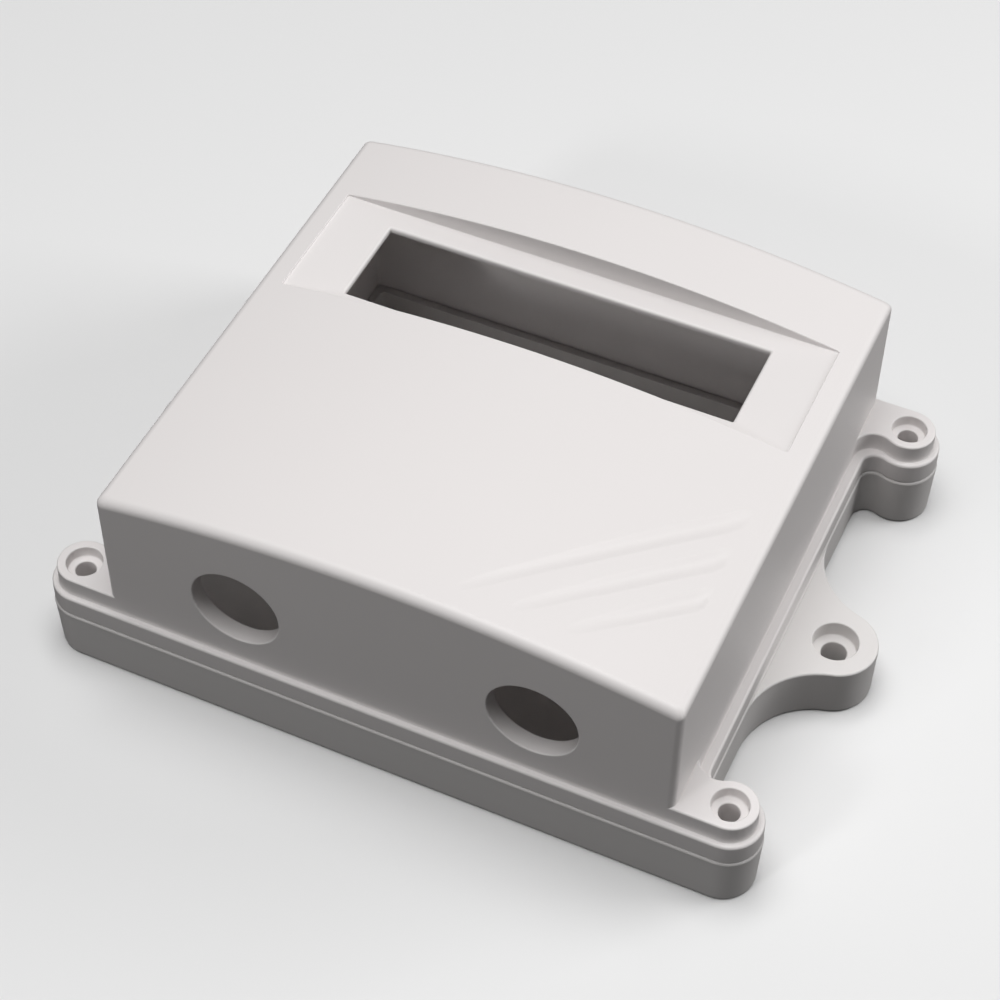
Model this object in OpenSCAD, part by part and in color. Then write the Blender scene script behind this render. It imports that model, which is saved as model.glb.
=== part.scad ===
// Injection moulded plastic housing: a two piece ABS wall box with an arched lid, a sunk display
// window, two cable gland holes and two wall ears.
// X runs along the gland side, -Y is the gland side, +Z points away from the wall. Millimetres.

/* [Cover box] */

// Outside width of the box, measured just above the screw bosses
body_w = 102.4; // [98:0.1:106]
// Outside depth of the box, measured just above the screw bosses
body_d = 98.5; // [98:0.1:99.6]
// Height of the arched roof at its middle, above the wall
roof_z = 48.2; // [44:0.2:56]
// Radius of the arched roof
roof_r = 290; // [240:5:400]
// How far each side wall leans in between the bosses and the roof edge
draft_in = 0.4; // [0.2:0.1:0.8]
// Radius on the roof edges
edge_r = 1.4; // [1:0.1:1.8]
// Radius on the four upright corners of the box, at the bosses
corner_r = 1.6; // [1.2:0.1:2.2]
// Wall thickness of the cover
wall_t = 2.4; // [2:0.1:2.8]

/* [Display] */

// Width of the flat sunk field round the window
field_w = 93.8; // [88:0.2:95]
// Front edge of the sunk field, from the middle of the box
field_front = 7.5; // [4:0.5:9]
// Back edge of the sunk field, from the middle of the box
field_back = 33; // [31:0.5:36]
// Depth of the sunk field where it meets the roof at its side lines
field_step = 0.4; // [0.2:0.1:0.8]
// Width of the display window
window_w = 72.4; // [60:0.4:84]
// Front to back size of the display window
window_d = 18; // [14:0.5:20]
// Middle of the window, from the middle of the box
window_y = 19.5; // [18.5:0.5:21.5]

/* [Ornament] */

// Number of slanting grooves on the front right corner of the roof
groove_n = 3; // [2:1:4]
// Spacing of the grooves along the side of the box
groove_pitch = 10; // [9:0.5:12]
// Depth of a groove at its deep end
groove_deep = 0.55; // [0.3:0.05:0.9]

/* [Glands] */

// Diameter of the two cable gland holes in the front wall
gland_d = 16; // [12:0.5:18]
// Distance between the two gland holes
gland_gap = 53.2; // [40:0.4:60]
// Height of the gland holes above the wall
gland_z = 28.2; // [28:0.2:31]

/* [Flange and screws] */

// Distance between the cover screws along X
screw_gap_x = 118.2; // [117:0.2:120.6]
// Distance between the cover screws along Y
screw_gap_y = 89.2; // [88.6:0.2:90]
// Height of the top of the screw bosses
boss_z = 19.1; // [18.3:0.2:19.7]
// Height of the top of the rounded ledge
ledge_z = 15.5; // [15:0.1:16.2]
// How far the ledge stands out from the front and back walls
ledge_w = 1.3; // [1.1:0.1:2]
// How far the ledge stands out from the two side walls
ledge_side = 2.1; // [1.5:0.1:2.8]
// Through hole for a cover screw
screw_d = 3.6; // [3:0.1:4]
// Counterbore for the head of a cover screw
head_d = 6.3; // [5.6:0.1:6.6]
// Depth of the counterbore for a cover screw
head_deep = 2.2; // [1.5:0.1:2.8]

/* [Base] */

// Height of the base rim, where the two halves part
part_z = 11.3; // [10.5:0.2:12.5]
// Floor thickness of the base
floor_t = 2.4; // [2:0.1:3]
// Pilot hole in the base for a cover screw
pilot_d = 2.5; // [2.2:0.1:2.8]
// Distance between the two wall ears, hole to hole
ear_gap = 123.8; // [121:0.4:128]
// Radius of the round end of a wall ear
ear_r = 7.4; // [6.4:0.1:8]
// Radius of the hollow curve that leads a wall ear into the side
ear_sweep = 14; // [10:0.5:16]
// Height of the top of the wall ears
ear_z = 10.6; // [8:0.2:11.2]
// Through hole in a wall ear
ear_d = 4.5; // [4:0.1:5]
// Counterbore in a wall ear
ear_head_d = 8; // [7:0.2:9]
// Depth of the counterbore in a wall ear
ear_head_deep = 3.1; // [2:0.1:4]

/* [Hidden] */

$fn = 96;
eps = 0.01;

shell_rgb = [0.90, 0.89, 0.88];
base_rgb = [0.88, 0.87, 0.86];

sx = screw_gap_x / 2;
sy = screw_gap_y / 2;
hw = body_w / 2;
hd = body_d / 2;
roof_c = roof_z - roof_r;               // height of the axis of the roof arch
rim_z = roof_c + sqrt(pow(roof_r, 2) - pow(hw, 2));
lean = draft_in / (rim_z - boss_z);     // wall lean per mm of height
up_r = hd - sy;                         // upper boss is flush with the front wall
low_r = up_r + ledge_w;                 // lower boss is flush with the ledge
low_w = hw + ledge_side;
low_d = hd + ledge_w;
up_neck = 3.6;
low_neck = 2.5;
bite = 0.01;                            // hollow curves cross their neighbours by this much
rim_out = 0.15;                         // base rim stands out past the cover
field_x = field_w / 2;
field_z = roof_at(field_x) - field_step;
in_w = hw - wall_t;
in_d = hd - wall_t;
lap_gap = 0.2;
lap_t = 1.8;
lap_w = in_w + lap_t;
lap_d = in_d + lap_t;
lap_z = part_z - 2.4;
rib_t = 1.4;

function roof_at(x) = roof_c + sqrt(pow(roof_r, 2) - pow(x, 2));

// Half width and half depth of the box at height z, from the lean of its walls
function wall_x(z) = hw - lean * (z - boss_z);
function wall_y(z) = hd - lean * (z - boss_z);

// Centre of the roof edge rounding: touches the leaning side wall and the roof arch
function edge_x(z) = wall_x(z) - edge_r * sqrt(1 + lean * lean);
function edge_z(x) = roof_c + sqrt(pow(roof_r - edge_r, 2) - pow(x, 2));
function settle(z, n) = n == 0 ? z : settle(edge_z(edge_x(z)), n - 1);

// One band of the outline of box and bosses: half sizes w and d, boss radius br, hollow curve nf.
// The outline grows by o0 at z0 and by o1 at z1, so a band can lean or be bevelled.
module band(w, d, br, nf, z0, z1, o0, o1) {
    h = z1 - z0;
    translate([0, sy, z0])
        rotate([90, 0, 0])
            linear_extrude(2 * sy)
                polygon([[-w - o0, 0], [w + o0, 0], [w + o1, h], [-w - o1, h]]);
    for (s = [0, 1])
        mirror([0, s, 0]) {
            translate([-sx, 0, z0])
                rotate([90, 0, 90])
                    linear_extrude(2 * sx)
                        polygon([[sy - 0.5, 0], [d + o0, 0], [d + o1, h], [sy - 0.5, h]]);
            for (t = [0, 1])
                mirror([t, 0, 0]) {
                    translate([sx, sy, z0])
                        cylinder(h = h, r1 = br + o0, r2 = br + o1);
                    neck(w, br, nf, z0, h, o0, o1);
                }
        }
}

// Hollow curve between a side wall and a corner boss
module neck(w, br, nf, z0, h, o0, o1) {
    fx = w + nf - bite;
    fy = sy - sqrt(pow(br + nf - bite, 2) - pow(sx - fx, 2));
    translate([0, 0, z0])
        difference() {
            linear_extrude(h)
                polygon([[w - 3, fy], [fx, fy], [sx, sy], [w - 3, sy]]);
            translate([fx, fy, 0])
                cylinder(h = h, r1 = nf - o0, r2 = nf - o1);
        }
}

// Wall ear with its two hollow curves, on the right side
module ear(w, z0, z1, o0, o1) {
    h = z1 - z0;
    fx = w + ear_sweep - bite;
    fy = sqrt(pow(ear_r + ear_sweep - bite, 2) - pow(ear_gap / 2 - fx, 2));
    translate([ear_gap / 2, 0, z0])
        cylinder(h = h, r1 = ear_r + o0, r2 = ear_r + o1);
    translate([0, 0, z0])
        difference() {
            linear_extrude(h)
                polygon([[w - 3, -fy], [fx, -fy], [ear_gap / 2, 0], [fx, fy], [w - 3, fy]]);
            for (s = [-1, 1])
                translate([fx, s * fy, 0])
                    cylinder(h = h, r1 = ear_sweep - o0, r2 = ear_sweep - o1);
        }
}

// Leaning box: half sizes follow the wall lean, less an inset
module lean_box(inset, z0, z1) {
    intersection() {
        translate([0, 60, 0])
            rotate([90, 0, 0])
                linear_extrude(120)
                    polygon([[-wall_x(z0) + inset, z0], [wall_x(z0) - inset, z0],
                             [wall_x(z1) - inset, z1], [-wall_x(z1) + inset, z1]]);
        translate([-60, 0, 0])
            rotate([90, 0, 90])
                linear_extrude(120)
                    polygon([[-wall_y(z0) + inset, z0], [wall_y(z0) - inset, z0],
                             [wall_y(z1) - inset, z1], [-wall_y(z1) + inset, z1]]);
    }
}

// Arched drum that gives the roof and the rounding on its front and back edges
module roof_drum() {
    cy = wall_y(rim_z) - edge_r;
    half = 14;
    translate([0, 0, roof_c])
        rotate([-90, 0, 0])
            rotate([0, 0, -90 - half])
                rotate_extrude(angle = 2 * half, $fn = 720)
                    union() {
                        translate([roof_r - 60, -60])
                            square([60 - edge_r, 120]);
                        translate([roof_r - 60, -cy])
                            square([60, 2 * cy]);
                        for (s = [-1, 1])
                            translate([roof_r - edge_r, s * cy])
                                circle(edge_r, $fn = 48);
                    }
}

// Front view of the box with the rounding along its two side edges
module side_profile() {
    cz = settle(roof_z - 5, 6);
    cx = edge_x(cz);
    n = sqrt(1 + lean * lean);
    tx = cx * roof_r / (roof_r - edge_r);
    tz = roof_c + (cz - roof_c) * roof_r / (roof_r - edge_r);
    z0 = ledge_z - 2;
    union() {
        for (s = [0, 1])
            mirror([s, 0]) {
                polygon([[-1, z0], [wall_x(z0), z0], [cx + edge_r / n, cz + edge_r * lean / n],
                         [cx, cz], [tx, tz], [tx, roof_z + 5], [-1, roof_z + 5]]);
                translate([cx, cz])
                    circle(edge_r, $fn = 48);
            }
    }
}

// Leaning block with rounded upright corners, from below the ledge to above the roof
module round_box(z0, z1) {
    h = z1 - z0;
    cx = hw - corner_r;
    cy = hd - corner_r;
    translate([0, cy, 0])
        rotate([90, 0, 0])
            linear_extrude(2 * cy)
                polygon([[-wall_x(z0), z0], [wall_x(z0), z0], [wall_x(z1), z1], [-wall_x(z1), z1]]);
    translate([-cx, 0, 0])
        rotate([90, 0, 90])
            linear_extrude(2 * cx)
                polygon([[-wall_y(z0), z0], [wall_y(z0), z0], [wall_y(z1), z1], [-wall_y(z1), z1]]);
    for (i = [-1, 1])
        for (j = [-1, 1])
            translate([i * cx, j * cy, z0])
                cylinder(h = h, r1 = wall_x(z0) - cx, r2 = wall_x(z1) - cx, $fn = 64);
}

// Outside of the cover box above the flange
module box_out() {
    intersection() {
        roof_drum();
        translate([0, 60, 0])
            rotate([90, 0, 0])
                linear_extrude(120)
                    side_profile();
        round_box(ledge_z - 2, roof_z + 2);
    }
}

// Room inside the cover: follows the walls and the arch, and stays clear of the sunk field
module box_in() {
    difference() {
        intersection() {
            lean_box(wall_t, lap_z - 1, roof_z);
            translate([0, 60, roof_c])
                rotate([90, 0, 0])
                    cylinder(h = 120, r = roof_r - wall_t, $fn = 720);
        }
        translate([-field_x - wall_t, field_front - wall_t, field_z - wall_t])
            cube([field_w + 2 * wall_t, field_back - field_front + 2 * wall_t, 20]);
    }
}

// One ornamental groove that follows the arch: long gentle far slope, short steep near slope.
// Its section is a lopsided V whose arms run on above the roof, so the roof itself trims them.
module groove(i) {
    n = 10;
    over = 0.6;
    x1 = field_x;
    y1 = -6 - i * groove_pitch;
    run = y1 + 43.5;
    pts = [for (k = [0 : n]) for (q = [-1.5, 0, 0.8])
        let (t = k / n,
             d = groove_deep * (1 - 0.75 * t * t),
             o = q * (1 - 0.3 * t) * (d + over) / d,
             x = x1 - run * t + (k == 0 ? 0 : o * 0.7071),
             y = y1 - run * t - (k == 0 ? o * 1.4142 : o * 0.7071),
             z = roof_at(x1 - run * t) + (q == 0 ? -d : over))
        [x, y, z]];
    sides = [for (k = [0 : n - 1]) for (q = [0 : 2])
        for (f = [[k * 3 + q, k * 3 + (q + 1) % 3, k * 3 + 3 + (q + 1) % 3],
                  [k * 3 + q, k * 3 + 3 + (q + 1) % 3, k * 3 + 3 + q]]) f];
    polyhedron(points = pts, faces = concat([[2, 1, 0], [n * 3, n * 3 + 1, n * 3 + 2]], sides),
               convexity = 4);
}

// The four cover screw positions
module at_screws() {
    for (i = [-1, 1])
        for (j = [-1, 1])
            translate([i * sx, j * sy, 0])
                children();
}

module cover() {
    color(shell_rgb)
        difference() {
            union() {
                band(low_w, low_d, low_r, low_neck, part_z, ledge_z - 1.3, 0, 0);
                band(low_w, low_d, low_r, low_neck, ledge_z - 1.3, ledge_z - 0.6, 0, -0.2);
                band(low_w, low_d, low_r, low_neck, ledge_z - 0.6, ledge_z - 0.15, -0.2, -0.6);
                band(low_w, low_d, low_r, low_neck, ledge_z - 0.15, ledge_z, -0.6, -1.1);
                band(hw, hd, up_r, up_neck, ledge_z - 1, boss_z - 0.4,
                     lean * (boss_z - ledge_z + 1), lean * 0.4);
                band(hw, hd, up_r, up_neck, boss_z - 0.4, boss_z, lean * 0.4, -0.35);
                box_out();
                translate([-lap_w, -lap_d, lap_z + lap_gap])
                    cube([2 * lap_w, 2 * lap_d, part_z - lap_z + 1]);
            }
            box_in();
            translate([-field_x, field_front, field_z])
                cube([field_w, field_back - field_front, 20]);
            translate([-window_w / 2, window_y - window_d / 2, field_z - 10])
                cube([window_w, window_d, 20]);
            for (i = [0 : groove_n - 1])
                groove(i);
            for (i = [-1, 1])
                translate([i * gland_gap / 2, 0, gland_z])
                    rotate([90, 0, 0]) {
                        translate([0, 0, hd - wall_t - 3])
                            cylinder(h = wall_t + 8, d = gland_d);
                        translate([0, 0, wall_y(gland_z) - 0.5])
                            cylinder(h = 1, d1 = gland_d, d2 = gland_d + 0.7);
                    }
            at_screws() {
                translate([0, 0, part_z - 4])
                    cylinder(h = 20, d = screw_d, $fn = 48);
                translate([0, 0, boss_z - head_deep])
                    cylinder(h = 10, d = head_d, $fn = 64);
            }
        }
}

module base() {
    color(base_rgb)
        difference() {
            union() {
                band(low_w, low_d, low_r, low_neck, 0, 0.8, -0.7, -0.2);
                band(low_w, low_d, low_r, low_neck, 0.8, part_z - 0.3, -0.2, rim_out);
                band(low_w, low_d, low_r, low_neck, part_z - 0.3, part_z, rim_out, 0);
                for (s = [0, 1])
                    mirror([s, 0, 0]) {
                        ear(low_w, 0, 0.8, -0.6, -0.1);
                        ear(low_w, 0.8, ear_z - 0.4, -0.1, 0);
                        ear(low_w, ear_z - 0.4, ear_z, 0, -0.35);
                    }
            }
            translate([-lap_w - lap_gap, -lap_d - lap_gap, lap_z])
                cube([2 * (lap_w + lap_gap), 2 * (lap_d + lap_gap), 20]);
            translate([-in_w + rib_t, -in_d + rib_t, floor_t])
                cube([2 * (in_w - rib_t), 2 * (in_d - rib_t), 20]);
            at_screws()
                translate([0, 0, 2.5])
                    cylinder(h = 20, d = pilot_d, $fn = 48);
            for (s = [-1, 1])
                translate([s * ear_gap / 2, 0, 0]) {
                    translate([0, 0, -5])
                        cylinder(h = 30, d = ear_d, $fn = 48);
                    translate([0, 0, ear_z - ear_head_deep])
                        cylinder(h = 10, d = ear_head_d, $fn = 64);
                }
        }
}

base();
cover();
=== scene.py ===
"""Studio scene of an injection moulded wall housing: a base tray and an arched cover.

Lengths in the classes are millimetres, in the frame of the record: X along the side with
the cable holes, -Y towards that side, Z out of the wall.
"""

import logging
import math
from collections.abc import Callable, Iterator
from contextlib import contextmanager
from dataclasses import dataclass, field
from enum import Enum

import bmesh
import bpy
from mathutils import Matrix, Vector


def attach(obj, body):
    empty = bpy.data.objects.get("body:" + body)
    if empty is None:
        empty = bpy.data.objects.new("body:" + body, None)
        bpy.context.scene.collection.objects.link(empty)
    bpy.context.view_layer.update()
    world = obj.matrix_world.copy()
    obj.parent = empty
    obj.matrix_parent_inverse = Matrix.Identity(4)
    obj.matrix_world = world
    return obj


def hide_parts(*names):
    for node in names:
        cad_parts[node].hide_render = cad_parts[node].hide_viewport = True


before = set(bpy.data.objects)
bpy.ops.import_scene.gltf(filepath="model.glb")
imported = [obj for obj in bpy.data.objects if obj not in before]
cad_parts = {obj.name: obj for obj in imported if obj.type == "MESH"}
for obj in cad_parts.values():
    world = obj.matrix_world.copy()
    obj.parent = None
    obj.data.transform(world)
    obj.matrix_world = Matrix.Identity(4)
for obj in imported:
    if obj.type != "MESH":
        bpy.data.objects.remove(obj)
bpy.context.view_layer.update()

MM = 0.001
SAME = 1e-6  # metres within which two places count as one
MERGE_MM = 0.002
SHARP_DEG = 40
SMOOTH_DEG = 32
Point = tuple[float, float]
Point3 = tuple[float, float, float]
log = logging.getLogger("housing")


class Cut(Enum):
    """What one solid does to another."""

    ADD = "UNION"
    REMOVE = "DIFFERENCE"


class Pick(Enum):
    """What is picked in edit mode: corners, edges or faces."""

    CORNERS = (True, False, False)
    EDGES = (False, True, False)
    FACES = (False, False, True)


class Slot(Enum):
    """Names of the record's material slots for the two mouldings."""

    BASE = "base_plastic"
    COVER = "cover_plastic"


def linear(hex_colour: str) -> tuple[float, float, float, float]:
    """Turn an sRGB hex colour into linear red, green, blue and alpha.

    Args:
        hex_colour: Six hex digits, such as "e4e0df".

    Returns:
        The linear colour with alpha 1.
    """
    parts = [int(hex_colour[i:i + 2], 16) / 255 for i in (0, 2, 4)]
    lin = [c / 12.92 if c <= 0.04045 else ((c + 0.055) / 1.055) ** 2.4 for c in parts]
    return lin[0], lin[1], lin[2], 1.0


def add_node(tree: bpy.types.NodeTree, kind: str, settings: dict | None = None,
             links: dict | None = None, **values: object) -> bpy.types.Node:
    """Add one shader node with its settings, socket values and incoming links.

    Args:
        tree: Node tree that gets the node.
        kind: Blender's type name of the node.
        settings: Attributes of the node, by name.
        links: Output sockets to link in, by input name or number.
        **values: Socket values, with underscores for spaces in the names.

    Returns:
        The new node.
    """
    node = tree.nodes.new(kind)
    for name, value in (settings or {}).items():
        setattr(node, name, value)
    for name, value in values.items():
        node.inputs[name.replace("_", " ")].default_value = value
    for name, socket in (links or {}).items():
        tree.links.new(socket, node.inputs[name])
    return node


@dataclass(frozen=True)
class MouldedABS:
    """Off-white ABS from a polished tool with a very fine matt texture.

    The eye sees a soft, satin plastic: even colour, wide weak highlights along the rounded
    edges, and a barely visible grain where light grazes a wall.
    """

    name: str
    colour: str
    cloud: str
    grain_mm: float = 0.22
    grain_depth_mm: float = 0.006
    flow_mm: float = 60.0
    grain_strength: float = 0.35
    roughness: float = 0.50
    gloss_spread: float = 0.05
    ior: float = 1.54

    def make(self) -> bpy.types.Material:
        """Build the material's nodes and return it."""
        mat = bpy.data.materials.new(self.name)
        mat.use_nodes = True
        tree = mat.node_tree
        tree.nodes.clear()
        place = add_node(tree, "ShaderNodeTexCoord").outputs["Object"]
        flow = add_node(tree, "ShaderNodeTexNoise", links={"Vector": place},
                        Scale=1 / (self.flow_mm * MM), Detail=3.0, Roughness=0.5)
        tint = add_node(tree, "ShaderNodeMix", {"data_type": "RGBA"},
                        {"Factor": flow.outputs["Fac"]})
        tint.inputs["A"].default_value = linear(self.colour)
        tint.inputs["B"].default_value = linear(self.cloud)
        grain = add_node(tree, "ShaderNodeTexNoise", links={"Vector": place},
                         Scale=1 / (self.grain_mm * MM), Detail=2.0, Roughness=0.6)
        gloss = add_node(tree, "ShaderNodeMapRange", links={"Value": grain.outputs["Fac"]},
                         To_Min=self.roughness - self.gloss_spread,
                         To_Max=self.roughness + self.gloss_spread)
        bump = add_node(tree, "ShaderNodeBump", links={"Height": grain.outputs["Fac"]},
                        Strength=self.grain_strength, Distance=self.grain_depth_mm * MM)
        body = add_node(tree, "ShaderNodeBsdfPrincipled",
                        links={"Base Color": tint.outputs["Result"],
                               "Roughness": gloss.outputs["Result"],
                               "Normal": bump.outputs["Normal"]},
                        IOR=self.ior)
        add_node(tree, "ShaderNodeOutputMaterial", links={"Surface": body.outputs["BSDF"]})
        return mat


def only(obj: bpy.types.Object) -> None:
    """Deselect everything, then select one object and make it active."""
    bpy.ops.object.select_all(action="DESELECT")
    obj.select_set(True)
    bpy.context.view_layer.objects.active = obj


@contextmanager
def editing(parts: Pick = Pick.CORNERS) -> Iterator[None]:
    """Hold the active object in edit mode, with corners, edges or faces picked."""
    bpy.context.tool_settings.mesh_select_mode = parts.value
    bpy.ops.object.mode_set(mode="EDIT")
    yield
    bpy.ops.object.mode_set(mode="OBJECT")


def pick(obj: bpy.types.Object, parts: Pick,
         wanted: Callable[[bpy.types.MeshEdge | bpy.types.MeshPolygon], bool]) -> None:
    """Select those edges or faces of the active object that pass a test, and no others.

    Args:
        obj: Active mesh object in object mode.
        parts: Edges or faces.
        wanted: Says whether an edge or face is selected.
    """
    with editing(parts):
        bpy.ops.mesh.select_all(action="DESELECT")
    for part in obj.data.edges if parts is Pick.EDGES else obj.data.polygons:
        part.select = wanted(part)


def ends(obj: bpy.types.Object, edge: bpy.types.MeshEdge) -> list[Vector]:
    """Both ends of an edge."""
    return [obj.data.vertices[v].co for v in edge.vertices]


def place_points(obj: bpy.types.Object, first: int, loop: list[Point3]) -> None:
    """Put a run of vertices where a loop of points in millimetres says.

    Args:
        obj: Mesh object in object mode.
        first: Number of the first vertex of the run.
        loop: Points in millimetres, one for each vertex.
    """
    for vertex, point in zip(obj.data.vertices[first:first + len(loop)], loop):
        vertex.co = Vector(point) * MM


def draw_up(name: str, loops: list[list[Point3]]) -> bpy.types.Object:
    """Extrude a filled ring through a stack of loops that all have the same count.

    Args:
        name: Name of the new object.
        loops: The rings from the first to the last, in millimetres.

    Returns:
        A closed solid whose last ring is its last face.
    """
    count = len(loops[0])
    bpy.ops.object.select_all(action="DESELECT")
    bpy.ops.mesh.primitive_circle_add(vertices=count, radius=MM, fill_type="NGON")
    obj = bpy.context.object
    obj.name = name
    obj.data.name = name
    place_points(obj, 0, loops[0])
    for level, loop in enumerate(loops[1:], start=1):
        with editing():
            bpy.ops.mesh.extrude_region_move()
        place_points(obj, level * count, loop)
    return obj


def close_arch(obj: bpy.types.Object, count: int) -> None:
    """Swap the last ring's face for strips from front to back, so an arched top stays true.

    Args:
        obj: Solid made by draw_up, with its last ring still selected.
        count: Number of points in a ring.
    """
    with editing():
        bpy.ops.mesh.delete(type="ONLY_FACE")
    start = len(obj.data.vertices) - count
    rim = {frozenset((start + k, start + (k + 1) % count)) for k in range(count)}

    def front_or_back(edge: bpy.types.MeshEdge) -> bool:
        """Whether a rim edge lies wholly in the front half or wholly in the back half."""
        a, b = ends(obj, edge)
        return frozenset(edge.vertices) in rim and a.y * b.y > 0

    pick(obj, Pick.EDGES, front_or_back)
    with editing(Pick.EDGES):
        bpy.ops.mesh.bridge_edge_loops()
    side = max(vertex.co.x for vertex in obj.data.vertices[start:start + count])

    def along_side(edge: bpy.types.MeshEdge) -> bool:
        """Whether an edge of the bridge only doubles the straight side."""
        a, b = ends(obj, edge)
        straight = min(abs(a.x), abs(b.x)) > side - SAME and a.y * b.y < 0
        return straight and frozenset(edge.vertices) not in rim and min(edge.vertices) >= start

    pick(obj, Pick.EDGES, along_side)
    if any(edge.select for edge in obj.data.edges):
        with editing(Pick.EDGES):
            bpy.ops.mesh.dissolve_edges(use_verts=False)


def tidy_mesh(obj: bpy.types.Object) -> None:
    """Merge doubles, drop faces with no area and turn every face outwards."""
    only(obj)
    with editing():
        bpy.ops.mesh.select_all(action="SELECT")
        bpy.ops.mesh.remove_doubles(threshold=MERGE_MM * MM)
        bpy.ops.mesh.dissolve_degenerate(threshold=MERGE_MM * MM)
        bpy.ops.mesh.normals_make_consistent(inside=False)


def flatten(obj: bpy.types.Object, z_mm: float) -> None:
    """Join the faces of each level top into one, so that holes cut cleanly through it.

    Args:
        obj: Tidied solid.
        z_mm: Height of the level tops in millimetres.
    """
    def is_top(face: bpy.types.MeshPolygon) -> bool:
        """Whether a face looks up and lies at the height asked for."""
        heights = [obj.data.vertices[v].co.z for v in face.vertices]
        return face.normal.z > 0.99 and all(abs(z - z_mm * MM) < SAME for z in heights)

    pick(obj, Pick.FACES, is_top)
    with editing(Pick.FACES):
        bpy.ops.mesh.dissolve_faces()


def stitch(obj: bpy.types.Object) -> None:
    """Split each long open edge where corners of its neighbours lie on it, to be merged."""
    shape = bmesh.new()
    shape.from_mesh(obj.data)
    rims = [edge for edge in shape.edges if edge.is_boundary]
    spots = [Vector(spot) for spot in {tuple(vert.co) for edge in rims for vert in edge.verts}]
    for edge in rims:
        start, end = edge.verts
        origin, along = start.co.copy(), end.co - start.co
        shares = []
        for spot in spots:
            share = (spot - origin).dot(along) / along.length_squared
            if 0.001 < share < 0.999 and (origin + along * share - spot).length < SAME:
                shares.append(share)
        done = 0.0
        for share in sorted(shares):
            _, start = bmesh.utils.edge_split(edge, start, (share - done) / (1 - done))
            edge = next(part for part in start.link_edges if end in part.verts)
            done = share
    shape.to_mesh(obj.data)
    shape.free()


def block(low: Point3, high: Point3, corner_mm: float = 0.0) -> bpy.types.Object:
    """Add a box from corner to corner, with rounded upright corners if asked.

    Args:
        low: Lowest corner in millimetres.
        high: Highest corner in millimetres.
        corner_mm: Radius of the four upright corners.

    Returns:
        The box, with its place in its mesh.
    """
    lo, hi = Vector(low) * MM, Vector(high) * MM
    bpy.ops.object.select_all(action="DESELECT")
    bpy.ops.mesh.primitive_cube_add(size=1, location=(lo + hi) / 2, scale=hi - lo)
    bpy.ops.object.transform_apply()
    obj = bpy.context.object
    if corner_mm > 0:
        pick(obj, Pick.EDGES, lambda edge: abs(ends(obj, edge)[0].z - ends(obj, edge)[1].z) > SAME)
        with editing(Pick.EDGES):
            bpy.ops.mesh.bevel(offset=corner_mm * MM, segments=5, affect="EDGES")
    return obj


def drill(centre: Point3, radius: float, length: float, along_y: bool = False,
          sides: int = 64) -> bpy.types.Object:
    """Add a round cutter.

    Args:
        centre: Middle of its axis in millimetres.
        radius: Radius in millimetres.
        length: Length in millimetres.
        along_y: True for a cutter that points along Y, False for one along Z.
        sides: Number of sides.

    Returns:
        The cutter, with its place in its mesh.
    """
    bpy.ops.object.select_all(action="DESELECT")
    bpy.ops.mesh.primitive_cylinder_add(vertices=sides, radius=radius * MM, depth=length * MM,
                                        location=Vector(centre) * MM,
                                        rotation=(math.pi / 2 if along_y else 0, 0, 0))
    bpy.ops.object.transform_apply()
    return bpy.context.object


def combine(target: bpy.types.Object, tools: list[bpy.types.Object], cut: Cut) -> None:
    """Add solids to a target or cut them out of it, and use the tools up.

    Args:
        target: Solid that is changed.
        tools: Solids that are added or removed, one after another.
        cut: Whether they are added or removed.
    """
    for tool in tools:
        only(target)
        change = target.modifiers.new("cut", "BOOLEAN")
        change.operation = cut.value
        change.solver = "EXACT"
        change.object = tool
        bpy.ops.object.modifier_apply(modifier=change.name)
        bpy.data.objects.remove(tool, do_unlink=True)


def soften(obj: bpy.types.Object, radius_mm: float,
           near: Callable[[float, float, float], float]) -> None:
    """Round chosen sharp edges, as a mould leaves them, and settle the shading.

    Args:
        obj: Finished solid.
        radius_mm: Largest radius of the rounding in millimetres.
        near: Share of that radius for an edge with its middle at x, y, z millimetres.
    """
    only(obj)
    mesh = obj.data
    chosen = []
    shape = bmesh.new()
    shape.from_mesh(mesh)
    for edge in shape.edges:
        middle = (edge.verts[0].co + edge.verts[1].co) / (2 * MM)
        sharp = len(edge.link_faces) == 2 and edge.calc_face_angle() > math.radians(SHARP_DEG)
        chosen.append(near(*middle) if sharp else 0.0)
    shape.free()
    weights = mesh.attributes.new("bevel_weight_edge", "FLOAT", "EDGE")
    weights.data.foreach_set("value", chosen)
    edge = obj.modifiers.new("edge radius", "BEVEL")
    edge.width = radius_mm * MM
    edge.segments = 3
    edge.limit_method = "WEIGHT"
    edge.use_clamp_overlap = False
    edge.miter_outer = "MITER_ARC"
    bpy.ops.object.modifier_apply(modifier=edge.name)
    bpy.ops.object.shade_smooth_by_angle(angle=math.radians(SMOOTH_DEG))
    even = obj.modifiers.new("even shading", "WEIGHTED_NORMAL")
    even.keep_sharp = True
    even.weight = 80
    bpy.ops.object.modifier_apply(modifier=even.name)


def arc(centre: Point, radius: float, start: float, end: float, steps: int) -> list[Point]:
    """Points on an arc, both ends included.

    Args:
        centre: Centre in millimetres.
        radius: Radius in millimetres.
        start: First angle in degrees.
        end: Last angle in degrees.
        steps: Number of steps between the ends.

    Returns:
        The points in order.
    """
    turns = [math.radians(start + (end - start) * k / steps) for k in range(steps + 1)]
    return [(centre[0] + radius * math.cos(t), centre[1] + radius * math.sin(t)) for t in turns]


def rounding(radius: float, steps: int) -> list[Point]:
    """Inset and drop at each step of a quarter round, from the wall to the level top.

    Args:
        radius: Radius in millimetres.
        steps: Number of steps.

    Returns:
        Pairs of inset and drop, both ends included.
    """
    turns = [math.radians(90 * k / steps) for k in range(steps + 1)]
    return [(radius * (1 - math.cos(t)), radius * (1 - math.sin(t))) for t in turns]


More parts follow.
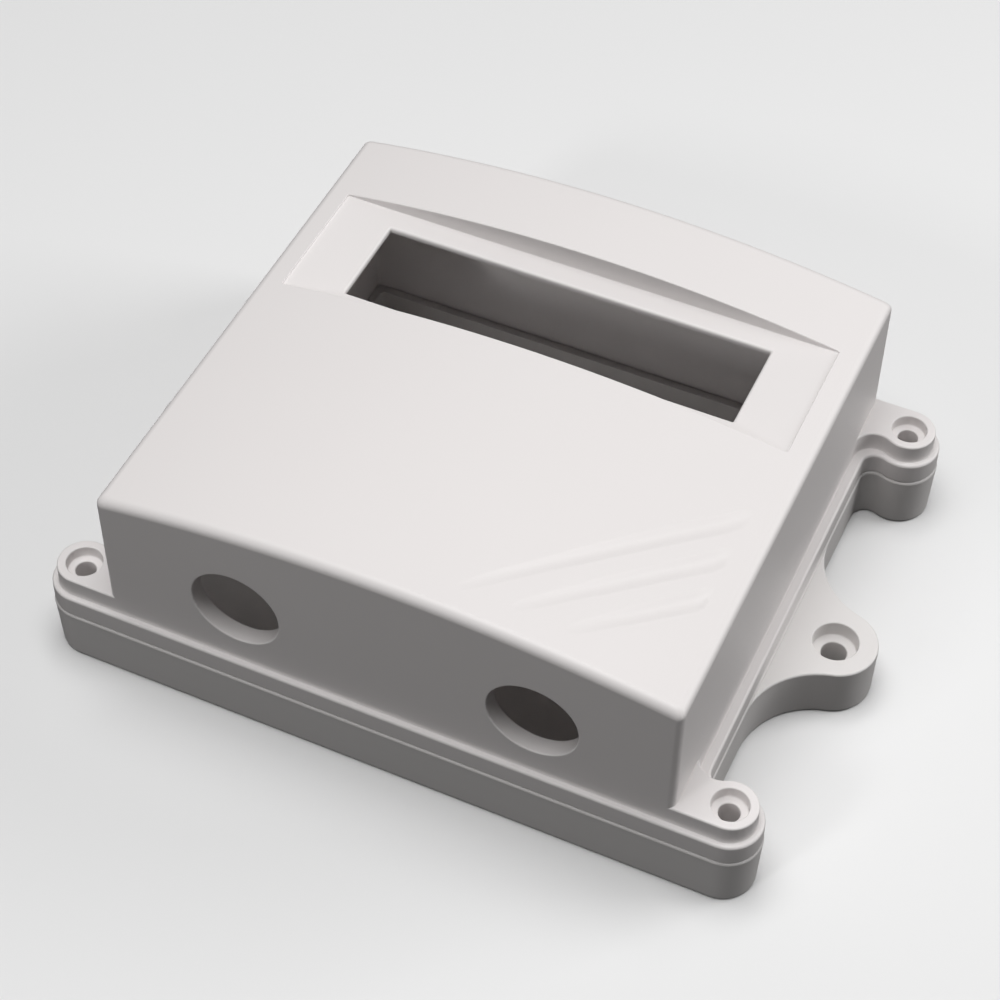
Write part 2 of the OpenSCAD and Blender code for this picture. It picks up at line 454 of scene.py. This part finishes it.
@dataclass(frozen=True)
class Screws:
    """Where the four cover screws stand, in millimetres from the middle."""

    x: float = 59.1
    y: float = 44.6

    def spots(self) -> list[Point]:
        """The four positions."""
        return [(i * self.x, j * self.y) for i in (-1, 1) for j in (-1, 1)]


@dataclass(frozen=True)
class BossPlan:
    """Outline of four walls with a round boss at each corner, seen from above, in mm."""

    half_x: float
    half_y: float
    boss_r: float
    neck_r: float
    screws: Screws = Screws()
    corner_r: float = 1.6
    neck_steps: int = 12
    boss_steps: int = 24
    join_steps: int = 4

    def corner(self, wall: float = 0.0, boss: float | None = None) -> list[Point]:
        """Corner at +X +Y, from the side wall round the boss to the back wall.

        Args:
            wall: How far the outline is grown at the walls.
            boss: How far it is grown at the boss, or None for the same as the walls.

        Returns:
            Points of the hollow curve, of the boss, and of the box corner behind it.
        """
        grow = wall if boss is None else boss
        fx = self.half_x + self.neck_r
        fy = self.neck_start()
        turn = math.degrees(math.atan2(self.screws.y - fy, self.screws.x - fx))
        neck = [(max(x, self.half_x + wall), y)
                for x, y in arc((fx, fy), self.neck_r - grow, 180, turn, self.neck_steps)]
        end = arc((self.screws.x, self.screws.y), self.boss_r + grow, turn - 180, 90,
                  self.boss_steps)
        full = self.corner_r + wall
        low = math.degrees(math.asin(min(1.0, (self.corner_r + grow) / full)))
        join = arc((self.half_x - self.corner_r, self.half_y - self.corner_r), full, low, 90,
                   self.join_steps)
        return neck + end + join

    def neck_start(self) -> float:
        """Y at which the hollow curve leaves the side wall."""
        fx = self.half_x + self.neck_r
        reach = self.boss_r + self.neck_r
        return self.screws.y - math.sqrt(reach ** 2 - (self.screws.x - fx) ** 2)


def all_round(corner: list[Point], across: list[Point], side: list[Point]) -> list[Point]:
    """Mirror one corner and its walls into a whole ring.

    Args:
        corner: Points of the +X +Y corner, from the side to the back.
        across: Points along the back wall, from +X to -X.
        side: Points along the +X side, from -Y to +Y, or none.

    Returns:
        The ring, counter-clockwise, starting after the +X side.
    """
    flip_x = [(-x, y) for x, y in reversed(corner)]
    flip_xy = [(-x, -y) for x, y in corner]
    flip_y = [(x, -y) for x, y in reversed(corner)]
    far_side = [(-x, -y) for x, y in side]
    front = [(-x, -y) for x, y in across]
    return corner + across + flip_x + far_side + flip_xy + front + flip_y + side


def at_height(ring: list[Point], z: float) -> list[Point3]:
    """A flat ring at one height."""
    return [(x, y, z) for x, y in ring]


@dataclass
class Housing:
    """Sizes that the two mouldings share, in millimetres."""

    half_x: float = 51.2
    half_y: float = 49.25
    inner_x: float = 48.8
    inner_y: float = 46.85
    wall: float = 2.4
    ledge: float = 1.3
    ledge_side: float = 2.1
    part_z: float = 11.3
    lap: float = 1.8
    lap_deep: float = 2.4
    lap_gap: float = 0.2
    flange_neck: float = 2.5
    corner_room: float = 4.0
    columns: int = 40
    screws: Screws = field(default_factory=Screws)

    def flange(self) -> BossPlan:
        """Outline of the lower tier: ledge, rim and base."""
        boss_r = self.half_y - self.screws.y + self.ledge
        return BossPlan(self.half_x + self.ledge_side, self.half_y + self.ledge, boss_r,
                        self.flange_neck)

    def lap_z(self) -> float:
        """Height of the rebate's floor."""
        return self.part_z - self.lap_deep

    def across(self, y: float) -> list[Point]:
        """Points along the back wall at a given Y, from +X to -X."""
        reach = self.half_x - self.corner_room
        return [(reach - 2 * reach * k / self.columns, y) for k in range(self.columns + 1)]

    def flange_ring(self, z: float, grow: float) -> list[Point3]:
        """Ring of the lower tier at one height, grown by some millimetres."""
        plan = self.flange()
        return at_height(all_round(plan.corner(grow), self.across(plan.half_y + grow), []), z)


@dataclass
class ArchedCover(Housing):
    """The cover: arched box, sunk display field, gland holes, ledge and screw bosses."""

    half_x: float = 51.35
    half_y: float = 49.35
    ledge: float = 1.2
    ledge_side: float = 1.95
    roof_z: float = 48.2
    roof_r: float = 290.0
    edge_front: float = 1.8
    edge_side: float = 1.3
    corner_r: float = 1.3
    corner_shrink: float = 0.3
    corner_least: float = 0.8
    inner_corner: float = 0.8
    field_x: float = 46.9
    field_front: float = 7.5
    field_back: float = 33.0
    field_step: float = 0.4
    field_corner: float = 0.3
    window_x: float = 36.2
    window_front: float = 10.5
    window_back: float = 28.5
    window_corner: float = 0.2
    window_deep: float = 6.0
    boss_z: float = 19.1
    boss_edge: float = 0.35
    tier_neck: float = 3.6
    foot: float = 0.2
    ledge_edge: float = 0.55
    ledge_z: float = 15.5
    gland_r: float = 8.0
    gland_x: float = 26.6
    gland_z: float = 28.45
    gland_pad: float = 0.8
    gland_pad_r: float = 10.5
    gland_pad_bite: float = 0.2
    screw_r: float = 1.8
    head_r: float = 3.15
    head_deep: float = 2.2
    groove_count: int = 3
    groove_front: float = -8.0
    groove_end: float = -43.5
    groove_pitch: float = 9.1
    groove_deep: float = 0.5
    groove_upper: float = 2.2
    groove_lower: float = 2.6
    groove_clear: float = 0.03
    groove_top: float = 0.6
    plate: float = 1.1
    shadow_gap: float = 0.05
    clear: float = 4.0
    near: float = 0.3

    def tier(self) -> BossPlan:
        """Outline of the upper tier: box walls and screw bosses."""
        return BossPlan(self.half_x, self.half_y, self.half_y - self.screws.y, self.tier_neck,
                        corner_r=self.corner_r)

    def roof_at(self, x: float, below: float = 0.0) -> float:
        """Height of the arch at x, or of an arch that runs a distance below it."""
        return self.roof_z - self.roof_r + math.sqrt((self.roof_r - below) ** 2 - x ** 2)

    def field_z(self) -> float:
        """Height of the flat display field."""
        return self.roof_at(self.field_x) - self.field_step

    def box_corner(self) -> list[Point]:
        """Foot of the box corner, with as many points as a boss corner has."""
        plan = self.tier()
        cx, cy = self.half_x - self.corner_r, self.half_y - self.corner_r
        neck = plan.corner(0.0, -self.boss_edge)[:plan.neck_steps + 1]
        wall = [(self.half_x, y if x <= self.half_x else cy) for x, y in neck]
        low = math.degrees(math.asin(1 - self.boss_edge / self.corner_r))
        bend = arc((cx, cy), self.corner_r, 0, low, plan.boss_steps)
        return wall + bend + arc((cx, cy), self.corner_r, low, 90, plan.join_steps)

    def shrink(self, x: float, y: float, inset: float) -> Point:
        """Move a point of the box's foot inwards, keeping its corners round.

        Args:
            x: X of the point.
            y: Y of the point.
            inset: Distance in millimetres.

        Returns:
            The moved point.
        """
        radius = max(self.corner_r - self.corner_shrink * inset, self.corner_least)
        out = []
        for value, half in ((x, self.half_x), (y, self.half_y)):
            straight = half - self.corner_r
            bend = max(abs(value) - straight, 0) / self.corner_r
            place = min(abs(value), straight, half - inset - radius) + bend * radius
            out.append(math.copysign(place, value))
        return out[0], out[1]

    def box_ring(self, inset: float) -> list[Point]:
        """Ring of the box walls, inset by some millimetres."""
        foot = all_round(self.box_corner(), self.across(self.half_y), [])
        return [self.shrink(x, y, inset) for x, y in foot]

    def roof_ring(self, inset: float, drop: float) -> list[Point3]:
        """One ring of the rounding along the roof edge.

        Args:
            inset: Inset from the wall, as a share of the edge radius.
            drop: Drop below the roof, as a share of the edge radius.

        Returns:
            The ring in three dimensions.
        """
        out = []
        for x, y in self.box_ring(0):
            side = max(abs(x) - self.half_x + self.corner_r, 0) / self.corner_r
            edge = self.edge_front + (self.edge_side - self.edge_front) * side ** 2
            nx, ny = self.shrink(x, y, edge * inset)
            out.append((nx, ny, self.roof_at(nx) - edge * drop))
        return out

    def tier_ring(self, z: float, grow: float, boss: float) -> list[Point3]:
        """Ring of the screw boss tier at one height."""
        plan = self.tier()
        return at_height(all_round(plan.corner(grow, grow + boss),
                                   self.across(plan.half_y + grow), []), z)

    def shell(self) -> bpy.types.Object:
        """Outside of the cover as one solid, from tongue to roof."""
        tongue_x, tongue_y = self.inner_x + self.lap, self.inner_y + self.lap
        inset = self.half_x - tongue_x
        tongue = [(math.copysign(min(abs(x), tongue_x), x),
                   math.copysign(min(abs(y), tongue_y), y)) for x, y in self.box_ring(inset)]
        loops = [at_height(tongue, self.lap_z() + self.lap_gap), at_height(tongue, self.part_z)]
        loops.append(self.flange_ring(self.part_z, -self.shadow_gap))
        loops.append(self.flange_ring(self.part_z + 0.2, 0))
        loops += [self.flange_ring(self.ledge_z - drop, -inset)
                  for inset, drop in rounding(self.ledge_edge, 6)]
        for rise, flare in ((0.0, 1.0), (0.12, 0.6), (0.35, 0.25), (0.8, 0.0)):
            loops.append(self.tier_ring(self.ledge_z + rise, self.foot * flare, 0))
        loops += [self.tier_ring(self.boss_z - drop, 0.0, -inset)
                  for inset, drop in rounding(self.boss_edge, 4)]
        loops.append(at_height(self.box_ring(0), self.boss_z))
        loops += [self.roof_ring(inset, drop) for inset, drop in rounding(1.0, 6)]
        obj = draw_up("cover_shell", loops)
        close_arch(obj, len(loops[0]))
        tidy_mesh(obj)
        flatten(obj, self.boss_z)
        return obj

    def room(self) -> bpy.types.Object:
        """Space inside the cover, clear of the display field."""
        def ring(z: float | None) -> list[Point3]:
            """Ring of the inner walls at a height, or where they meet the arch."""
            r = self.inner_corner
            bend = arc((self.inner_x - r, self.inner_y - r), r, 0, 90, 6)
            flat = all_round(bend, self.across(self.inner_y), [])
            return [(x, y, z if z is not None else self.roof_at(x, self.wall)) for x, y in flat]

        loops = [ring(self.lap_z() - 1), ring(self.boss_z), ring(None)]
        space = draw_up("cover_room", loops)
        close_arch(space, len(loops[0]))
        tidy_mesh(space)
        x = self.field_x + self.wall
        front, back = self.field_front - self.wall, self.field_back + self.wall
        combine(space, [block((-x, front, self.field_z() - self.plate),
                              (x, back, self.roof_z + self.clear), self.inner_corner)],
                Cut.REMOVE)
        return space

    def groove(self, i: int) -> bpy.types.Object:
        """Cutter of one slanting groove that follows the arch and fades out.

        Args:
            i: Number of the groove, counted from the back.

        Returns:
            A strip whose underside has a cosine section and whose top stands above the roof.
        """
        first_y = self.groove_front - i * self.groove_pitch
        run = first_y - self.groove_end
        shares = [1.0, *(k / 5 for k in range(5, -6, -1)), -1.0]
        last = len(shares) - 1
        steps = 24
        slant = math.sqrt(0.5)
        loops = []
        for k in range(steps + 1):
            t = k / steps
            fade_in = math.sin(math.pi / 2 * min(1.0, 10 * t))
            deep = self.groove_deep * (1 - 0.95 * t * t) * fade_in + self.groove_clear
            ring = []
            for n, u in enumerate(shares):
                off = u * (self.groove_lower if u > 0 else self.groove_upper) * (1 - 0.25 * t)
                along = run * t - slant * off * min(1.0, 4 * t)
                x, y = self.field_x - along, first_y - along - 2 * slant * off
                rise = self.groove_clear - deep * (1 + math.cos(math.pi * u)) / 2
                ring.append((x, y, self.roof_at(x) + (rise if 0 < n < last else self.groove_top)))
            loops.append(ring)
        cutter = draw_up(f"groove_{i}", loops)
        tidy_mesh(cutter)
        return cutter

    def build(self) -> bpy.types.Object:
        """Model the whole cover."""
        obj = self.shell()
        combine(obj, [self.room()], Cut.REMOVE)
        pad_y = (self.gland_pad - self.gland_pad_bite) / 2 - self.inner_y
        pad = self.gland_pad + self.gland_pad_bite
        combine(obj, [drill((s * self.gland_x, pad_y, self.gland_z), self.gland_pad_r, pad,
                            True, 96) for s in (-1, 1)], Cut.ADD)
        top = self.roof_z + self.clear
        tools = [
            block((-self.field_x, self.field_front, self.field_z()),
                  (self.field_x, self.field_back, top), self.field_corner),
            block((-self.window_x, self.window_front, self.field_z() - self.window_deep),
                  (self.window_x, self.window_back, top), self.window_corner),
        ]
        tools += [self.groove(i) for i in range(self.groove_count)]
        tools += [drill((s * self.gland_x, -self.half_y, self.gland_z), self.gland_r,
                        2 * self.wall + self.clear, True, 96) for s in (-1, 1)]
        head_z = self.boss_z - self.head_deep + self.clear
        for x, y in self.screws.spots():
            tools.append(drill((x, y, self.ledge_z), self.screw_r, 14, sides=40))
            tools.append(drill((x, y, head_z), self.head_r, 2 * self.clear))
        combine(obj, tools, Cut.REMOVE)
        obj.name = obj.data.name = "arched_cover"
        tidy_mesh(obj)
        soften(obj, 0.5, self.softness)
        return obj

    def softness(self, x: float, y: float, z: float) -> float:
        """Share of the rounding that an edge gets, by where it is.

        Args:
            x: X of the edge's middle in millimetres.
            y: Y of the edge's middle.
            z: Z of the edge's middle.

        Returns:
            1 round the top of the window, about a half at the other openings, else 0.
        """
        near = self.near
        from_gland = math.hypot(abs(x) - self.gland_x, z - self.gland_z)
        from_screw = math.hypot(abs(x) - self.screws.x, abs(y) - self.screws.y)
        gland = y < -self.inner_y + self.gland_pad + near and from_gland < self.gland_r + near
        if gland or (from_screw < self.head_r + near and z > self.part_z + near):
            return 0.5
        deep = z < self.field_z() - self.window_deep
        if deep or abs(x) > self.field_x + near or not (
                self.field_front - near < y < self.field_back + near):
            return 0.0
        if self.window_front - near < y < self.window_back + near and (
                abs(x) < self.window_x + near):
            return 1.0 if z > self.field_z() - 0.1 else 0.3
        return min(0.5, 0.8 * (self.roof_at(x) - self.field_z()))


@dataclass
class BaseTray(Housing):
    """The base: floor, rim with a rebate, screw posts and two wall ears."""

    floor: float = 2.4
    rib: float = 1.4
    rim_out: float = 0.15
    rim_edge: float = 0.7
    foot_high: float = 0.7
    foot_in: float = 0.6
    foot_lean: float = 0.2
    wall_out: float = 0.1
    pocket_corner: float = 1.0
    clear: float = 3.0
    pilot_r: float = 1.25
    pilot_foot: float = 2.5
    ear_x: float = 61.9
    ear_r: float = 7.4
    ear_sweep: float = 14.0
    ear_z: float = 10.6
    ear_edge: float = 0.4
    ear_hole_r: float = 2.25
    ear_head_r: float = 4.0
    ear_head_deep: float = 3.1

    def ear_side(self, wall: float, ear: float) -> list[Point]:
        """Points along the +X side with the ear, from -Y to +Y.

        Args:
            wall: How far the wall is grown.
            ear: How far the ear is grown.

        Returns:
            Points of the first hollow curve, the round end and the second hollow curve.
        """
        half = self.half_x + self.ledge_side
        fx = half + self.ear_sweep
        reach = self.ear_r + self.ear_sweep
        fy = math.sqrt(reach ** 2 - (self.ear_x - fx) ** 2)
        turn = math.degrees(math.atan2(fy, self.ear_x - fx))
        hollow = arc((fx, -fy), self.ear_sweep - ear, 180, turn, 14)
        ramp = [min(1.0, k / 4) for k in range(len(hollow))]
        hollow = [(x + (wall - ear) * (1 - r), y) for (x, y), r in zip(hollow, ramp)]
        end = arc((self.ear_x, 0), self.ear_r + ear, turn - 180, 0, 14)
        low = hollow + end[1:]
        return low + [(x, -y) for x, y in reversed(low[:-1])]

    def ring(self, z: float, grow: float, ear: float | None) -> list[Point3]:
        """Ring of the base at one height, with or without the ears."""
        plan = self.flange()
        side = self.ear_side(grow, grow if ear is None else ear)
        if ear is None:
            side = [(plan.half_x + grow, y) for _, y in side]
        return at_height(all_round(plan.corner(grow), self.across(plan.half_y + grow), side), z)

    def shell(self) -> bpy.types.Object:
        """Outside of the base as one solid."""
        loops = []
        for rise, inset in rounding(1.0, 4):
            grow = -self.foot_lean - self.foot_in * inset
            loops.append(self.ring(self.foot_high * rise, grow, grow + self.wall_out))
        loops.append(self.ring(self.ear_z - self.ear_edge, self.wall_out, 0.0))
        loops += [self.ring(self.ear_z - drop, self.rim_out, -inset)
                  for inset, drop in rounding(self.ear_edge, 4)[1:]]
        loops.append(self.ring(self.ear_z, self.rim_out, None))
        loops += [self.ring(self.part_z - drop, self.rim_out - inset, None)
                  for inset, drop in rounding(self.rim_edge, 5)[1:]]
        obj = draw_up("base_shell", loops)
        tidy_mesh(obj)
        flatten(obj, self.ear_z)
        return obj

    def build(self) -> bpy.types.Object:
        """Model the whole base."""
        obj = self.shell()
        top = self.part_z + self.clear
        reach = self.lap + self.lap_gap
        lx, ly = self.inner_x + reach, self.inner_y + reach
        rx, ry = self.inner_x - self.rib, self.inner_y - self.rib
        tools = [block((-lx, -ly, self.lap_z()), (lx, ly, top)),
                 block((-rx, -ry, self.floor), (rx, ry, top), self.pocket_corner)]
        tools += [drill((x, y, self.pilot_foot + 10), self.pilot_r, 20, sides=32)
                  for x, y in self.screws.spots()]
        for s in (-1, 1):
            tools.append(drill((s * self.ear_x, 0, 5), self.ear_hole_r, 30, sides=48))
            tools.append(drill((s * self.ear_x, 0, self.ear_z - self.ear_head_deep + 5),
                               self.ear_head_r, 10))
        combine(obj, tools, Cut.REMOVE)
        obj.name = obj.data.name = "base_tray"
        stitch(obj)
        tidy_mesh(obj)
        soften(obj, 0.25, self.softness)
        return obj

    def softness(self, x: float, y: float, z: float) -> float:
        """1 for an edge of an ear's hole, else 0."""
        return 1.0 if math.hypot(abs(x) - self.ear_x, y) < self.ear_head_r + 0.2 else 0.0


@dataclass(frozen=True)
class Softbox:
    """A square soft lamp: its place and side in metres and its power in watts."""

    name: str
    spot: Point3
    size: float
    watts: float


@dataclass
class Studio:
    """Plain pale floor, soft lamps and the camera at the photograph's viewing angle."""

    eye: Point3 = (115.81, -262.39, 346.44)
    azimuth: float = 24.07
    elevation: float = 48.93
    roll: float = 0.73
    lens: float = 89.37
    sensor: float = 36.0
    target: Point3 = (0.0, 0.0, 0.02)
    lamps: tuple[Softbox, ...] = (
        Softbox("overhead_softbox", (-0.03, -0.04, 0.92), 0.60, 7.0),
        Softbox("front_left_softbox", (-0.32, -0.85, 0.62), 0.16, 1.7),
        Softbox("right_softbox", (0.60, 0.35, 0.34), 0.40, 2.6),
    )
    floor_size: float = 8.0
    floor_seen: str = "e6e6e6"
    floor_lit: str = "505050"
    sky_seen: float = 0.8
    sky_lit: float = 0.05

    def floor(self) -> None:
        """Add the floor: pale to the camera, and a dull grey to the light that it returns."""
        bpy.ops.object.select_all(action="DESELECT")
        bpy.ops.mesh.primitive_plane_add(size=self.floor_size)
        plane = bpy.context.object
        plane.name = "studio_floor"
        mat = bpy.data.materials.new("painted board, matt")
        mat.use_nodes = True
        tree = mat.node_tree
        tree.nodes.clear()
        ray = add_node(tree, "ShaderNodeLightPath").outputs["Is Camera Ray"]
        seen = add_node(tree, "ShaderNodeBsdfDiffuse", Color=linear(self.floor_seen))
        lit = add_node(tree, "ShaderNodeBsdfDiffuse", Color=linear(self.floor_lit))
        both = add_node(tree, "ShaderNodeMixShader",
                        links={0: ray, 1: lit.outputs["BSDF"], 2: seen.outputs["BSDF"]})
        add_node(tree, "ShaderNodeOutputMaterial", links={"Surface": both.outputs["Shader"]})
        plane.data.materials.append(mat)

    def sky(self) -> None:
        """Set the world: pale behind the floor, weak as a light."""
        world = bpy.data.worlds.new("studio")
        bpy.context.scene.world = world
        world.use_nodes = True
        tree = world.node_tree
        tree.nodes.clear()
        ray = add_node(tree, "ShaderNodeLightPath").outputs["Is Camera Ray"]
        level = add_node(tree, "ShaderNodeMapRange", links={"Value": ray},
                         To_Min=self.sky_lit, To_Max=self.sky_seen)
        light = add_node(tree, "ShaderNodeBackground", links={"Strength": level.outputs["Result"]},
                         Color=(1, 1, 1, 1))
        add_node(tree, "ShaderNodeOutputWorld", links={"Surface": light.outputs["Background"]})

    def light(self, lamp: Softbox) -> None:
        """Add one soft lamp that looks at the housing."""
        bpy.ops.object.select_all(action="DESELECT")
        bpy.ops.object.light_add(type="AREA", location=lamp.spot)
        obj = bpy.context.object
        obj.name = lamp.name
        obj.data.size = lamp.size
        obj.data.energy = lamp.watts
        aim = Vector(self.target) - Vector(lamp.spot)
        obj.rotation_euler = aim.to_track_quat("-Z", "Y").to_euler()

    def camera(self) -> None:
        """Add the camera."""
        bpy.ops.object.select_all(action="DESELECT")
        bpy.ops.object.camera_add(location=Vector(self.eye) * MM)
        cam = bpy.context.object
        turn = (Matrix.Rotation(math.radians(self.azimuth), 3, "Z")
                @ Matrix.Rotation(math.radians(90 - self.elevation), 3, "X")
                @ Matrix.Rotation(math.radians(self.roll), 3, "Z"))
        cam.rotation_euler = turn.to_euler()
        cam.data.lens = self.lens
        cam.data.sensor_width = self.sensor
        cam.data.clip_start = 0.01
        bpy.context.scene.camera = cam

    def build(self) -> None:
        """Set up the whole studio."""
        bpy.context.scene.view_settings.view_transform = "Standard"
        self.sky()
        self.floor()
        for lamp in self.lamps:
            self.light(lamp)
        self.camera()


def dress(obj: bpy.types.Object, finish: MouldedABS, node: str) -> None:
    """Give a moulding its finish, hang it on the root body and hide the CAD node that it replaces.

    Args:
        obj: Finished moulding.
        finish: Its plastic.
        node: CAD node that it replaces.
    """
    obj.data.materials.clear()
    obj.data.materials.append(finish.make())
    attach(obj, "root")
    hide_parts(node)
    log.info("%s: %d faces", obj.name, len(obj.data.polygons))


def main() -> None:
    """Build the housing and its studio, and log each moulding's face count."""
    logging.basicConfig(level=logging.INFO)
    dress(BaseTray().build(),
          MouldedABS("ABS moulded base", colour="dfdcdb", cloud="dbd8d6"), "base")
    dress(ArchedCover().build(),
          MouldedABS("ABS moulded cover", colour="e2dedd", cloud="dedad9"), "cover")
    Studio().build()


if __name__ == "__main__":
    main()
